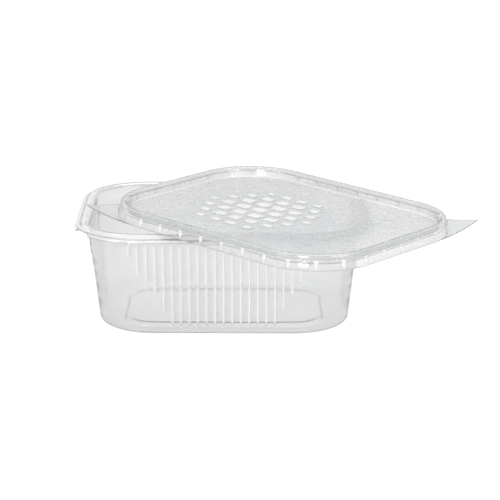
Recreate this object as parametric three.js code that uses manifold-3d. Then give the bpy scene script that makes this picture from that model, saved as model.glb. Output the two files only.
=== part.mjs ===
// A takeaway meal container of thin clear plastic: a drafted tub with rounded corners, a rolled rim
// and ribbed walls, and its separate lid, laid askew across the rim.
// Millimetres, +Z up, +X along the tub's length. The tub stands on z = 0.

import * as THREE from 'three';
import * as BufferGeometryUtils from 'three/addons/utils/BufferGeometryUtils.js';
import Module from 'manifold-3d';

const wasm = await Module();
wasm.setup();

// Driving dimensions of the tub
const WALL = 0.6;
const CORNER_STEPS = 8;
const RIM_HALF_X = 75;
const RIM_HALF_Y = 59;
const RIM_RADIUS = 33.5;
const RIM_TOP = 54.8;
const SKIRT_BOTTOM = 51.1;
const BAND_INSET = 6.8;
const SHOULDER_Z = 48.9;
const WALL_TOP_INSET = 7.35;
const WALL_TOP = 48.1;
const BASE_HALF_X = 63.6;
const BASE_HALF_Y = 45.1;
const BASE_RADIUS = 29;
const BASE_FILLET = 3.8;
const FILLET_STEPS = 4;
const PANEL_INSET = 13.2;
const PANEL_RISE = 1.9;
const PANEL_SLOPE = 1.0;
const PANEL_CORNER_SHIFT = 0.35;

// The rim's section, as points of inset from the rim's outline and height: first its underside,
// from the wall out to the skirt, then its outside, from the skirt back over the top to the inside
const RIM_UNDERSIDE = [
  [BAND_INSET, SHOULDER_Z], [6.65, 52.8], [5.5, 53.8], [4.8, 54.2], [3.6, 54.2],
  [3.3, 53.5], [2.9, 52.5], [1.2, 52.2], [0.65, SKIRT_BOTTOM],
];
const RIM_OUTSIDE = [
  [0, SKIRT_BOTTOM], [0.3, 52.1], [0.8, 52.8], [1.5, 53.1], [2.35, 53.2], [2.7, 53.8],
  [3.0, 54.45], [3.6, RIM_TOP], [4.9, RIM_TOP], [6.0, 54.3], [6.8, 53.2],
  [BAND_INSET + WALL, 49.25],
];

// Ribs on the tub's walls
const RIB_PITCH = 4.25;
const RIB_WIDTH = 1.7;
const RIB_HEIGHT = 0.45;
const RIB_SINK = 0.3;
const RIB_TOP = 48.0;
const RIB_ARC_STEPS = 3;
const RIB_TOE_LENGTH = 0.68;
const RIB_TOE_SCALE = 0.45;
const RIB_FULL_END = 4.2;
const RIB_SHORT_ENDS = [14.2, 22.2, 29.1, 36.2, 41.6];
const LONG_WALL_FULL_RIBS = 13;
const SHORT_WALL_FULL_RIBS = 5;

// The cut-away length of the rim's skirt at two corners
const NOTCH_ANGLE = THREE.MathUtils.degToRad(209);
const NOTCH_LENGTH = 13;
const NOTCH_HEIGHT = 1.3;
const NOTCH_DEPTH = 2.0;
const NOTCH_OUTWARD = 0.6;

// Driving dimensions of the lid, in its own frame: z = 0 is the bottom of its skirt
const LID_HALF_X = 76;
const LID_HALF_Y = 60;
const LID_RADIUS = 34.5;
const LID_HEIGHT = 7.5;
const LID_PANEL_UNDER = 1.8;
const LID_PANEL_TOP = LID_PANEL_UNDER + WALL;
const LID_PANEL_INSET = 6.4;
const LID_SKIRT_LEAN = 0.6 / 4.1;

// The lid's section, as points of inset from its outline and height: first its underside, from the
// panel over the bead to the skirt, then its outside, back over the bead to the panel
const LID_UNDERSIDE = [
  [LID_PANEL_INSET, LID_PANEL_UNDER], [5.3, 1.95], [4.9, 2.6], [4.35, 5.6], [3.7, 6.6],
  [2.8, 6.9], [2.1, 6.5], [1.85, 5.6], [1.75, 4.6], [1.2, 4.05], [0.6, 0],
];
const LID_OUTSIDE = [
  [0, 0], [0.6, 4.1], [0.75, 4.5], [1.2, 4.75], [1.25, 6.0], [1.55, 6.9], [2.2, 7.4],
  [3.0, LID_HEIGHT], [4.0, 7.2], [4.8, 6.2], [5.4, 3.1], [5.8, 2.55],
  [LID_PANEL_INSET, LID_PANEL_TOP],
];

// Small gussets on the lid's skirt
const GUSSET_COUNT = 36;
const GUSSET_WIDTH = 2.3;
const GUSSET_TOP = 4.35;
const GUSSET_TIP = 1.1;
const GUSSET_REACH = 0.95;
const GUSSET_SINK = 0.7;
const GUSSET_TIP_SINK = 0.2;

// Pull flaps at two corners of the lid, measured from the centre of the corner's arc. The outer edge
// runs from its start past one handle to the tip, and past the other handle to its end
const FLAP_THICKNESS = 0.55;
const FLAP_LIFT = 0.05;
const FLAP_ROOT_SINK = 0.5;
const FLAP_ALONG = 8;
const FLAP_ACROSS = 4;
const FLAP_CURL = 2.6;
const FLAP_CURL_POWER = 1.5;
const FLAP_START = new THREE.Vector2(34.45, -2);
const FLAP_FRONT_HANDLE = new THREE.Vector2(33.3, 22);
const FLAP_TIP = new THREE.Vector2(31.5, 39.5);
const FLAP_BACK_HANDLE = new THREE.Vector2(19, 35.5);
const FLAP_END = new THREE.Vector2(7, 33.75);

// Raised pattern on the lid's panel: rounded tiles in staggered rows, smaller towards the edge
const TILE_FIELD = { x: -15, y: 0, radius: 34 };
const TILE_PITCH = 10.4;
const TILE_LARGEST = 4.5;
const TILE_SMALLEST = 2.5;
const TILE_RISE = 0.25;
const TILE_SINK = 0.2;
const TILE_ASPECT = 0.8;
const TILE_CORNER = 0.35;

// A row of plain raised pips beside the pattern
const PIP_ROW = { x: 40, from: -33, to: 33, count: 12 };
const PIP_LENGTH = 3.6;
const PIP_WIDTH = 1.5;
const PIP_CORNER = 0.45;

// How the loose lid lies: centre of its skirt's bottom plane, its turn and its slight tilt
const LID_PLACE = new THREE.Vector3(29.0, -29.3, 54.85);
const LID_TURN = THREE.MathUtils.degToRad(-42.1);
const LID_TILT_X = THREE.MathUtils.degToRad(1.75);
const LID_TILT_Y = THREE.MathUtils.degToRad(1.1);

// Outlines and lofts

// A rounded rectangle as a counter-clockwise list of points, with the same count whatever its size.
function roundedRect(halfX, halfY, radius) {
  const corners = [
    [halfX - radius, halfY - radius, 0],
    [radius - halfX, halfY - radius, 1],
    [radius - halfX, radius - halfY, 2],
    [halfX - radius, radius - halfY, 3],
  ];
  const points = [];
  for (const [cx, cy, quarter] of corners) {
    for (let step = 0; step <= CORNER_STEPS; step += 1) {
      const angle = (quarter + step / CORNER_STEPS) * Math.PI / 2;
      points.push([cx + radius * Math.cos(angle), cy + radius * Math.sin(angle)]);
    }
  }
  return points;
}

// A closed body through a stack of outlines, capped at the first one and at the last one.
function loft(rings) {
  const count = rings[0].outline.length;
  const positions = [];
  const index = [];
  for (const { outline, z } of rings) {
    outline.forEach(([x, y]) => positions.push(x, y, z));
  }
  for (let r = 0; r + 1 < rings.length; r += 1) {
    for (let i = 0; i < count; i += 1) {
      const next = (i + 1) % count;
      const a = r * count + i;
      const b = r * count + next;
      index.push(a, b, b + count, a, b + count, a + count);
    }
  }
  const capRing = (ring, first, facesDown) => {
    const middle = positions.length / 3;
    const mean = (axis) => ring.outline.reduce((sum, p) => sum + p[axis], 0) / count;
    positions.push(mean(0), mean(1), ring.z);
    for (let i = 0; i < count; i += 1) {
      const here = first + i;
      const next = first + (i + 1) % count;
      index.push(middle, facesDown ? next : here, facesDown ? here : next);
    }
  };
  capRing(rings[0], 0, true);
  capRing(rings[rings.length - 1], (rings.length - 1) * count, false);
  const geometry = new THREE.BufferGeometry();
  geometry.setAttribute('position', new THREE.Float32BufferAttribute(positions, 3));
  geometry.setIndex(index);
  return geometry;
}

// Joins and cuts

function toSolid(geometry) {
  const plain = geometry.clone();
  plain.deleteAttribute('normal');
  plain.deleteAttribute('uv');
  const merged = BufferGeometryUtils.mergeVertices(plain, 1e-5);
  return new wasm.Manifold(new wasm.Mesh({
    numProp: 3,
    vertProperties: new Float32Array(merged.attributes.position.array),
    triVerts: new Uint32Array(merged.index.array),
  }));
}

function toGeometry(solid) {
  const mesh = solid.getMesh();
  const geometry = new THREE.BufferGeometry();
  geometry.setAttribute('position', new THREE.BufferAttribute(new Float32Array(mesh.vertProperties), 3));
  geometry.setIndex(new THREE.BufferAttribute(new Uint32Array(mesh.triVerts), 1));
  geometry.computeVertexNormals();
  return geometry;
}

function joinAll(body, additions) {
  return additions.reduce((solid, geometry) => solid.add(toSolid(geometry)), toSolid(body));
}

// The tub's shell

const rimRing = ([inset, z]) => ({
  outline: roundedRect(RIM_HALF_X - inset, RIM_HALF_Y - inset, RIM_RADIUS - inset),
  z,
});

// The drafted wall's outer outline, from the top of the base fillet up to the shoulder.
function wallSizes(z) {
  const t = (z - BASE_FILLET) / (WALL_TOP - BASE_FILLET);
  return {
    halfX: THREE.MathUtils.lerp(BASE_HALF_X, RIM_HALF_X - WALL_TOP_INSET, t),
    halfY: THREE.MathUtils.lerp(BASE_HALF_Y, RIM_HALF_Y - WALL_TOP_INSET, t),
    radius: THREE.MathUtils.lerp(BASE_RADIUS, RIM_RADIUS - WALL_TOP_INSET, t),
  };
}

function wallRing(z, inset) {
  const { halfX, halfY, radius } = wallSizes(z);
  return { outline: roundedRect(halfX - inset, halfY - inset, radius - inset), z };
}

const baseRing = (inset, z) => ({
  outline: roundedRect(BASE_HALF_X - inset, BASE_HALF_Y - inset, BASE_RADIUS - inset),
  z,
});

// The rounded edge between base and wall, listed from the base outwards.
function filletRings(skin) {
  const radius = BASE_FILLET - skin;
  const rings = [];
  for (let step = 0; step <= FILLET_STEPS; step += 1) {
    const angle = (step / FILLET_STEPS) * Math.PI / 2;
    const inset = skin + radius * (1 - Math.sin(angle));
    rings.push(baseRing(inset, BASE_FILLET - radius * Math.cos(angle)));
  }
  return rings;
}

function tubShell() {
  return loft([
    baseRing(PANEL_INSET + PANEL_SLOPE, PANEL_RISE),
    baseRing(PANEL_INSET, 0),
    ...filletRings(0),
    wallRing(WALL_TOP, 0),
    ...RIM_UNDERSIDE.map(rimRing),
    ...RIM_OUTSIDE.map(rimRing),
    wallRing(WALL_TOP, WALL),
    ...filletRings(WALL).reverse(),
    baseRing(PANEL_INSET + PANEL_CORNER_SHIFT, WALL),
    baseRing(PANEL_INSET + PANEL_SLOPE + PANEL_CORNER_SHIFT, PANEL_RISE + WALL),
  ]);
}

// Ribs

// How far the wall's outer face stands out at a place along one wall and a height.
function wallReach(along, z, onLongWall) {
  const { halfX, halfY, radius } = wallSizes(z);
  const halfLength = onLongWall ? halfX : halfY;
  const halfDepth = onLongWall ? halfY : halfX;
  const intoCorner = Math.max(0, Math.abs(along) - (halfLength - radius));
  return halfDepth - radius + Math.sqrt(radius * radius - intoCorner * intoCorner);
}

// A half-round rib standing on the outer face of one wall, with a rounded lower end.
function rib(along, endZ, turn, onLongWall) {
  const stations = [
    { z: endZ, scale: RIB_TOE_SCALE },
    { z: endZ + RIB_TOE_LENGTH, scale: 1 },
    { z: RIB_TOP, scale: 1 },
  ];
  const cos = Math.cos(turn);
  const sin = Math.sin(turn);
  const rings = stations.map(({ z, scale }) => {
    const halfWidth = RIB_WIDTH * scale / 2;
    const local = [[along + halfWidth, wallReach(along + halfWidth, z, onLongWall) - RIB_SINK]];
    for (let step = 0; step <= RIB_ARC_STEPS; step += 1) {
      const angle = Math.PI * step / RIB_ARC_STEPS;
      const s = along + halfWidth * Math.cos(angle);
      local.push([s, wallReach(s, z, onLongWall) + RIB_HEIGHT * scale * Math.sin(angle)]);
    }
    local.push([along - halfWidth, wallReach(along - halfWidth, z, onLongWall) - RIB_SINK]);
    return { outline: local.map(([s, n]) => [s * cos - n * sin, s * sin + n * cos]), z };
  });
  return loft(rings);
}

// The ribs of one wall: full ones in the middle, then ever shorter ones where the corner begins.
function wallRibs(turn, fullCount, onLongWall) {
  const middle = (fullCount - 1) / 2;
  const ribs = [];
  for (let i = 0; i < fullCount; i += 1) {
    ribs.push(rib((i - middle) * RIB_PITCH, RIB_FULL_END, turn, onLongWall));
  }
  RIB_SHORT_ENDS.forEach((endZ, i) => {
    const along = (middle + 1 + i) * RIB_PITCH;
    ribs.push(rib(along, endZ, turn, onLongWall), rib(-along, endZ, turn, onLongWall));
  });
  return ribs;
}

// A block that takes a length out of the rim's skirt at one corner.
function notchBlock(angle) {
  const block = new THREE.BoxGeometry(NOTCH_DEPTH * 2, NOTCH_LENGTH, NOTCH_HEIGHT * 2);
  const side = Math.sign(Math.cos(angle));
  const reach = RIM_RADIUS + NOTCH_OUTWARD;
  block.rotateZ(angle);
  block.translate(
    side * (RIM_HALF_X - RIM_RADIUS) + reach * Math.cos(angle),
    side * (RIM_HALF_Y - RIM_RADIUS) + reach * Math.sin(angle),
    SKIRT_BOTTOM,
  );
  return block;
}

function makeTub() {
  const ribs = [
    ...wallRibs(0, LONG_WALL_FULL_RIBS, true),
    ...wallRibs(Math.PI, LONG_WALL_FULL_RIBS, true),
    ...wallRibs(Math.PI / 2, SHORT_WALL_FULL_RIBS, false),
    ...wallRibs(-Math.PI / 2, SHORT_WALL_FULL_RIBS, false),
  ];
  let solid = joinAll(tubShell(), ribs);
  for (const angle of [NOTCH_ANGLE, NOTCH_ANGLE + Math.PI]) {
    solid = solid.subtract(toSolid(notchBlock(angle)));
  }
  return toGeometry(solid);
}

// The lid's shell

const lidRing = ([inset, z]) => ({
  outline: roundedRect(LID_HALF_X - inset, LID_HALF_Y - inset, LID_RADIUS - inset),
  z,
});

const lidShell = () => loft([...LID_UNDERSIDE, ...LID_OUTSIDE].map(lidRing));

// A small pointed gusset under the bead, on the skirt's outer face, placed by its foot and direction.
function gusset(x, y, facing) {
  const positions = [
    -GUSSET_SINK, -GUSSET_WIDTH / 2, GUSSET_TOP,
    -GUSSET_SINK, GUSSET_WIDTH / 2, GUSSET_TOP,
    GUSSET_REACH - LID_SKIRT_LEAN * GUSSET_TOP, 0, GUSSET_TOP,
    -LID_SKIRT_LEAN * GUSSET_TIP - GUSSET_TIP_SINK, 0, GUSSET_TIP,
  ];
  const geometry = new THREE.BufferGeometry();
  geometry.setAttribute('position', new THREE.Float32BufferAttribute(positions, 3));
  geometry.setIndex([0, 2, 1, 0, 1, 3, 1, 2, 3, 2, 0, 3]);
  geometry.rotateZ(facing);
  geometry.translate(x, y, 0);
  return geometry;
}

// A place on the lid's outline at a distance along it, from the middle of the +X side, with its facing.
function outlinePlace(distance) {
  const straightX = LID_HALF_X - LID_RADIUS;
  const straightY = LID_HALF_Y - LID_RADIUS;
  const arc = LID_RADIUS * Math.PI / 2;
  const half = 2 * straightX + 2 * straightY + 2 * arc;
  const flip = distance >= half ? -1 : 1;
  const s = distance % half;
  const afterSide = s - straightY;
  const afterArc = afterSide - arc;
  const afterTop = afterArc - 2 * straightX;
  let place;
  if (afterSide < 0) {
    place = { x: LID_HALF_X, y: s, facing: 0 };
  } else if (afterArc < 0) {
    const angle = afterSide / LID_RADIUS;
    place = {
      x: straightX + LID_RADIUS * Math.cos(angle),
      y: straightY + LID_RADIUS * Math.sin(angle),
      facing: angle,
    };
  } else if (afterTop < 0) {
    place = { x: straightX - afterArc, y: LID_HALF_Y, facing: Math.PI / 2 };
  } else if (afterTop < arc) {
    const angle = Math.PI / 2 + afterTop / LID_RADIUS;
    place = {
      x: -straightX + LID_RADIUS * Math.cos(angle),
      y: straightY + LID_RADIUS * Math.sin(angle),
      facing: angle,
    };
  } else {
    place = { x: -LID_HALF_X, y: straightY - (afterTop - arc), facing: Math.PI };
  }
  return { x: flip * place.x, y: flip * place.y, facing: place.facing + (flip < 0 ? Math.PI : 0) };
}

function lidGussets() {
  const around = 4 * (LID_HALF_X + LID_HALF_Y - 2 * LID_RADIUS) + 2 * Math.PI * LID_RADIUS;
  const gussets = [];
  for (let i = 0; i < GUSSET_COUNT; i += 1) {
    const { x, y, facing } = outlinePlace(around * i / GUSSET_COUNT);
    gussets.push(gusset(x, y, facing));
  }
  return gussets;
}

// A thin plate between the skirt's corner and a pointed outer edge, curling up towards its tip.
function flap(centre, swapped) {
  const front = new THREE.QuadraticBezierCurve(FLAP_START, FLAP_FRONT_HANDLE, FLAP_TIP);
  const back = new THREE.QuadraticBezierCurve(FLAP_TIP, FLAP_BACK_HANDLE, FLAP_END);
  const firstAngle = FLAP_START.y / LID_RADIUS;
  const lastAngle = Math.PI / 2 - FLAP_END.x / LID_RADIUS;
  const rootRadius = LID_RADIUS - FLAP_ROOT_SINK;
  const tipReach = FLAP_TIP.length() - LID_RADIUS;
  const columns = FLAP_ALONG + 1;
  const rows = FLAP_ACROSS + 1;
  const positions = [];
  for (const lift of [FLAP_LIFT, FLAP_LIFT + FLAP_THICKNESS]) {
    for (let i = 0; i < columns; i += 1) {
      const t = i / FLAP_ALONG;
      const edge = t < 0.5 ? front.getPoint(t * 2) : back.getPoint(t * 2 - 1);
      const angle = THREE.MathUtils.lerp(firstAngle, lastAngle, t);
      const root = new THREE.Vector2(rootRadius * Math.cos(angle), rootRadius * Math.sin(angle));
      for (let j = 0; j < rows; j += 1) {
        const place = root.clone().lerp(edge, j / FLAP_ACROSS);
        const reach = Math.max(0, place.length() - LID_RADIUS) / tipReach;
        const x = swapped ? centre.x - place.y : centre.x + place.x;
        const y = swapped ? centre.y - place.x : centre.y + place.y;
        positions.push(x, y, lift + FLAP_CURL * reach ** FLAP_CURL_POWER);
      }
    }
  }
  const layer = columns * rows;
  const index = [];
  const quad = (a, b, c, d) => index.push(a, b, c, a, c, d);
  for (let i = 0; i < FLAP_ALONG; i += 1) {
    for (let j = 0; j < FLAP_ACROSS; j += 1) {
      const a = i * rows + j;
      quad(a, a + rows, a + rows + 1, a + 1);
      quad(layer + a, layer + a + 1, layer + a + rows + 1, layer + a + rows);
    }
    const inner = i * rows;
    const rim = i * rows + FLAP_ACROSS;
    quad(inner, layer + inner, layer + inner + rows, inner + rows);
    quad(rim, rim + rows, layer + rim + rows, layer + rim);
  }
  const last = FLAP_ALONG * rows;
  for (let j = 0; j < FLAP_ACROSS; j += 1) {
    quad(j, j + 1, layer + j + 1, layer + j);
    quad(last + j, layer + last + j, layer + last + j + 1, last + j + 1);
  }
  if (swapped) {
    for (let i = 0; i < index.length; i += 3) {
      [index[i + 1], index[i + 2]] = [index[i + 2], index[i + 1]];
    }
  }
  const geometry = new THREE.BufferGeometry();
  geometry.setAttribute('position', new THREE.Float32BufferAttribute(positions, 3));
  geometry.setIndex(index);
  return geometry;
}

function lidFlaps() {
  const centre = { x: LID_HALF_X - LID_RADIUS, y: LID_HALF_Y - LID_RADIUS };
  return [flap(centre, false), flap({ x: -centre.x, y: -centre.y }, true)];
}

// The raised pattern and the pips

// A low block with cut corners, standing on the panel.
function panelBlock(x, y, halfX, halfY, corner) {
  return loft([LID_PANEL_TOP - TILE_SINK, LID_PANEL_TOP + TILE_RISE].map((z) => ({
    outline: [
      [x + halfX, y - halfY + corner], [x + halfX, y + halfY - corner],
      [x + halfX - corner, y + halfY], [x - halfX + corner, y + halfY],
      [x - halfX, y + halfY - corner], [x - halfX, y - halfY + corner],
      [x - halfX + corner, y - halfY], [x + halfX - corner, y - halfY],
    ],
    z,
  })));
}

function patternTiles() {
  const tiles = [];
  const rowGap = TILE_PITCH * Math.sqrt(3) / 2;
  const rowCount = Math.ceil(TILE_FIELD.radius / rowGap);
  for (let row = -rowCount; row <= rowCount; row += 1) {
    const shift = row % 2 === 0 ? 0 : TILE_PITCH / 2;
    for (let column = -rowCount - 1; column <= rowCount; column += 1) {
      const x = column * TILE_PITCH + shift;
      const y = row * rowGap;
      const far = Math.hypot(x, y) / TILE_FIELD.radius;
      if (far < 1) {
        const half = THREE.MathUtils.lerp(TILE_LARGEST, TILE_SMALLEST, far * far);
        const place = [TILE_FIELD.x + x, TILE_FIELD.y + y];
        tiles.push(panelBlock(...place, half, half * TILE_ASPECT, half * TILE_CORNER));
      }
    }
  }
  return tiles;
}

function pipRow() {
  const pips = [];
  for (let i = 0; i < PIP_ROW.count; i += 1) {
    const y = THREE.MathUtils.lerp(PIP_ROW.from, PIP_ROW.to, i / (PIP_ROW.count - 1));
    pips.push(panelBlock(PIP_ROW.x, y, PIP_LENGTH / 2, PIP_WIDTH / 2, PIP_CORNER));
  }
  return pips;
}

function makeLid() {
  return toGeometry(joinAll(lidShell(), [...lidGussets(), ...lidFlaps(), ...patternTiles(), ...pipRow()]));
}

// The scene

const clearPlastic = new THREE.MeshStandardMaterial({
  color: 0xdfe1e2,
  roughness: 0.12,
  metalness: 0,
  transparent: true,
  opacity: 0.35,
});

const frostedPlastic = new THREE.MeshStandardMaterial({
  color: 0xd3d5d7,
  roughness: 0.4,
  metalness: 0,
  transparent: true,
  opacity: 0.5,
});

const tub = new THREE.Mesh(makeTub(), clearPlastic);
tub.name = 'tub';

const lid = new THREE.Mesh(makeLid(), frostedPlastic);
lid.name = 'lid';
lid.position.copy(LID_PLACE);
lid.rotation.set(LID_TILT_X, LID_TILT_Y, LID_TURN, 'XYZ');

const container = new THREE.Group();
container.add(tub, lid);

// The origin is the middle of the footprint of tub and lid together, on the surface they stand on.
container.updateMatrixWorld(true);
const footprint = new THREE.Box3().setFromObject(container, true);
const middle = footprint.getCenter(new THREE.Vector3());
container.position.set(-middle.x, -middle.y, 0);

export default container;
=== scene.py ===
import math

import bmesh
import bpy
import numpy as np
from mathutils import Euler, Matrix, Vector


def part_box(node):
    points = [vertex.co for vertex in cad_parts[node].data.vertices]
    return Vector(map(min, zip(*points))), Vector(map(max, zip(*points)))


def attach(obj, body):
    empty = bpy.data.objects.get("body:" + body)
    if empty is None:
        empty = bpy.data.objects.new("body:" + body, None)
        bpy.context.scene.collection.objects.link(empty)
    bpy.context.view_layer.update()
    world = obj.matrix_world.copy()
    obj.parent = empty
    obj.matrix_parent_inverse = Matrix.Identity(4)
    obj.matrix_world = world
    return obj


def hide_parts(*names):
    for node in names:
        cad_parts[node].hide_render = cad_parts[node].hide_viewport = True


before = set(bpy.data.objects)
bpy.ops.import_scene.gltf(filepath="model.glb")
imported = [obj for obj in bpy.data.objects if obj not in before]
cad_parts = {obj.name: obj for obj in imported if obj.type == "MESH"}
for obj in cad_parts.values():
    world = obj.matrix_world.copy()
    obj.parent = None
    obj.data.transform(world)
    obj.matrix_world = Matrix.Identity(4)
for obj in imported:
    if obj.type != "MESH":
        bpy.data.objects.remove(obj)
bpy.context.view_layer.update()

MM = 0.001
low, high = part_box("tub")
TUB_MIDDLE = Vector(((low.x + high.x) / 2, (low.y + high.y) / 2, 0))

# The tub's driving dimensions, in millimetres from the middle of its base. A size is half the length,
# half the width and the corner's radius.
WALL = 0.6
RIM = (75.0, 59.0, 33.5)
RIM_TOP = 54.8
SKIRT_BOTTOM = 51.1
BAND_INSET = 6.8
SHOULDER_Z = 48.9
WALL_TOP = 48.1
WALL_TOP_INSET = 7.35
BASE = (63.6, 45.1, 29.0)
BASE_FILLET = 3.8
FILLET_STEPS = 9
PANEL_INSET = 13.2
PANEL_SLOPE = 2.0
PANEL_RISE = 1.9
PANEL_BEND = 0.9
PANEL_FLAT = 3.5

# Two notches in the tub's skirt
NOTCH_ANGLE = math.radians(209)
NOTCH_LENGTH = 13.0
NOTCH_HEIGHT = 1.3
NOTCH_DEPTH = 2.0
NOTCH_SHARE_INSIDE = 0.3

# Ribs on the walls
RIB_PITCH = 4.25
RIB_WIDTH = 1.9
RIB_HEIGHT = 0.45
RIB_SHARPNESS = 2.5
RIB_TOP = 48.0
RIB_SHORT_ENDS = (14.2, 22.2, 29.1, 36.2, 41.6)
RIB_FULL_END = 4.2
LONG_WALL_FULL_RIBS = 13
SHORT_WALL_FULL_RIBS = 5
LONG_RIB_FIELD = 50.0
SHORT_RIB_FIELD = 31.5

# How finely the tub's mesh follows its shape
RIB_COLUMNS = 8
CORNER_COLUMNS = 18
CORNER_SHARE = 0.6
SOFT_SHARE = 0.45
RIB_END_SHARES = (0, 0.2, 0.45, 0.7, 1.0)
RIB_TOP_SHARES = (0, 0.25, 0.5, 0.75, 1.0)
RIB_TOP_CLEARANCE = 0.02
INNER_WALL_HEIGHTS = (30, 15)

# The lid's driving dimensions, in its own frame, whose zero height is the bottom of its skirt
LID = (76.0, 60.0, 34.5)
LID_HEIGHT = 7.5
LID_PANEL_UNDER = 1.8
LID_PANEL_TOP = LID_PANEL_UNDER + WALL
LID_PANEL_INSET = 6.4
LID_PLACE = (29.0, -29.3, 54.85)
LID_TILT = (math.radians(1.75), math.radians(1.1), math.radians(-42.1))
LID_AROUND = 4 * (LID[0] + LID[1] - 2 * LID[2]) + 2 * math.pi * LID[2]
FROSTED_INSET = 5.1
PATTERN_INSET = 8.0
BEAD_FOOT = 4.7
BEAD_SIDE_INSET = 1.5
BEAD_OUTER_INSET = 2.6
BEAD_SHOULDER = 6.6
BEAD_LEAN = 1.3

# Gussets on the lid's skirt
GUSSET_COUNT = 36
GUSSET_PITCH = LID_AROUND / GUSSET_COUNT
GUSSET_WIDTH = 2.8
GUSSET_TOP = 4.35
GUSSET_TIP = 0.5
GUSSET_REACH = 0.95
GUSSET_COLUMNS = (-0.8, -0.65, -0.52, -0.5, -0.32, -0.16, -0.03, 0.03, 0.16, 0.32, 0.5, 0.52, 0.65)
SPACES_BETWEEN_GUSSETS = 5
GUSSET_DEEPEST = 0.7
OUTERMOST = 0.1

# Pull flaps at two of the lid's corners, drawn from the middle of the corner's turn
FLAP_THICKNESS = 0.55
FLAP_ALONG = 28
FLAP_ACROSS = 12
FLAP_LIFT = 0.05
FLAP_CURL = 2.6
FLAP_CURL_POWER = 1.5
FLAP_OVERLAP = 0.5
FLAP_ROOT_START = -2
FLAP_ROOT_END = -7
FLAP_START = (LID[2] - 0.05, -2)
FLAP_START_HANDLE = (LID[2] - 1.2, 22)
FLAP_TIP = (31.5, 39.5)
FLAP_END_HANDLE = (19, LID[2] + 1.0)
FLAP_END = (7, LID[2] - 0.75)

# The raised pattern on the lid's panel
TILE_FIELD = (-15.0, 0.0, 34.0)
TILE_PITCH = 10.4
TILE_LARGEST = 4.5
TILE_SMALLEST = 2.5
TILE_DEPTH_SHARE = 0.8
TILE_ROUNDING = 0.45
TILE_TURNS = 6
TILE_SUNK = 0.2
TILE_RISE = 0.25
TILE_STEP = 0.1
TILE_BORDER = 0.5
TILE_SLOPE = 0.1
BAR_ROW = (40.0, -33.0, 33.0, 12)
BAR_LENGTH = 3.6
BAR_WIDTH = 1.5

# Tones stored on the meshes, for the material to look up
# The light tone: painted highlights on rib crests and gussets, and a lighter rim and lighter tiles.
# The shade and grey tone: painted shade lines on rib flanks, beside gussets, round tiles and at skirt
# edges, painted shade on the base's rounded edge and the bead's front sides, and a greyer panel and flaps.
RIB_PAINTED_HIGHLIGHT = 0.32
RIB_HIGHLIGHT_SPREAD = 0.38
RIB_SHADE_LINE_PLACE = 0.85
RIB_SHADE_LINE_SPREAD = 0.3
RIB_HIGHLIGHT_FADE = (0.75, 0.95, 80)
RIB_SHADE_FADE = (0.2, 0.5, -60)
RIM_LIGHT = 0.14
BASE_PAINTED_SHADE = 0.4
EDGE_DEPTH = 0.4
EDGE_WIDTH = 0.7
EDGE_OUTSIDE = 0.05
EDGE_PAINTED_SHADE = 0.5
LID_EDGE_PAINTED_SHADE = 1.0
GUSSET_PAINTED_HIGHLIGHT = 0.35
GUSSET_HIGHLIGHT_SHARE = 0.97
GUSSET_TONE_END = 1.05
GUSSET_SHADE_LINE_PLACE = 0.2
GUSSET_SHADE_LINE_SPREAD = 0.3
SKIRT_FACE_INSET = 0.3
SKIRT_FACE_LEAN = 0.146
BEAD_PAINTED_SHADE = 1.25
BEAD_LEAST = 0.15
BEAD_HALF = 0.5
BEAD_FROST = 0.4
BEAD_SHADE_TOWARDS = (0.67, -0.74)
FLAP_DARK = 0.6
FLAP_TONE_START = 0.5
FLAP_TONE_TOP = 3.6
TILE_LIGHT = 0.2
TILE_BORDER_PAINTED_SHADE = 1.0
PANEL_DARK = 1.0
NOTHING = (0.0, 0.0)

# Shading
CREASE_DEGREES = 40
LEVEL = 0.99999
UPWARD = 0.02
TOUCH = 0.01


# Sections

def knot(sizes, inset, z, soft=0.0):
    """One corner of a section: a ring's sizes after an inset, its height and how softly it turns."""
    return (sizes[0] - inset, sizes[1] - inset, sizes[2] - inset, z, soft)


def wall_sizes(z):
    """The tub's outer sizes at a height on its ribbed wall."""
    t = (z - BASE_FILLET) / (WALL_TOP - BASE_FILLET)
    top = [size - WALL_TOP_INSET for size in RIM]
    return tuple(b + (a - b) * t for a, b in zip(top, BASE))


def fillet(skin):
    """The rounded edge between base and wall, from the base outwards."""
    radius = BASE_FILLET - skin
    turns = [math.pi / 2 * i / FILLET_STEPS for i in range(FILLET_STEPS + 1)]
    return [
        knot(BASE, skin + radius * (1 - math.sin(a)), BASE_FILLET - radius * math.cos(a))
        for a in turns
    ]


def soften(knots, steps=5):
    """Rounds each knot of a section that has a soft turn, and returns rings as rows of sizes and height."""
    points = np.array([k[:4] for k in knots])
    rings = []
    for i, (*_, soft) in enumerate(knots):
        if soft == 0 or i in (0, len(knots) - 1):
            rings.append(points[i])
            continue
        before, after = points[i - 1] - points[i], points[i + 1] - points[i]
        length_before, length_after = math.hypot(before[0], before[3]), math.hypot(after[0], after[3])
        start = points[i] + before * min(soft, SOFT_SHARE * length_before) / length_before
        end = points[i] + after * min(soft, SOFT_SHARE * length_after) / length_after
        for t in np.linspace(0, 1, steps):
            rings.append((1 - t) ** 2 * start + 2 * t * (1 - t) * points[i] + t * t * end)
    return rings


# Outlines

def tub_columns():
    """Places along one long and one short wall where the mesh has a column: close together on each rib."""
    spread = np.linspace(-0.5, 0.5, RIB_COLUMNS) * RIB_WIDTH

    def across(full, field):
        count = full + 2 * len(RIB_SHORT_ENDS)
        middles = (np.arange(count) - (count - 1) / 2) * RIB_PITCH
        places = np.concatenate([[-field], *(m + spread for m in middles), [field]])
        return np.sort(places)

    long_places = across(LONG_WALL_FULL_RIBS, LONG_RIB_FIELD)
    short_places = across(SHORT_WALL_FULL_RIBS, SHORT_RIB_FIELD)
    return long_places, short_places


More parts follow.
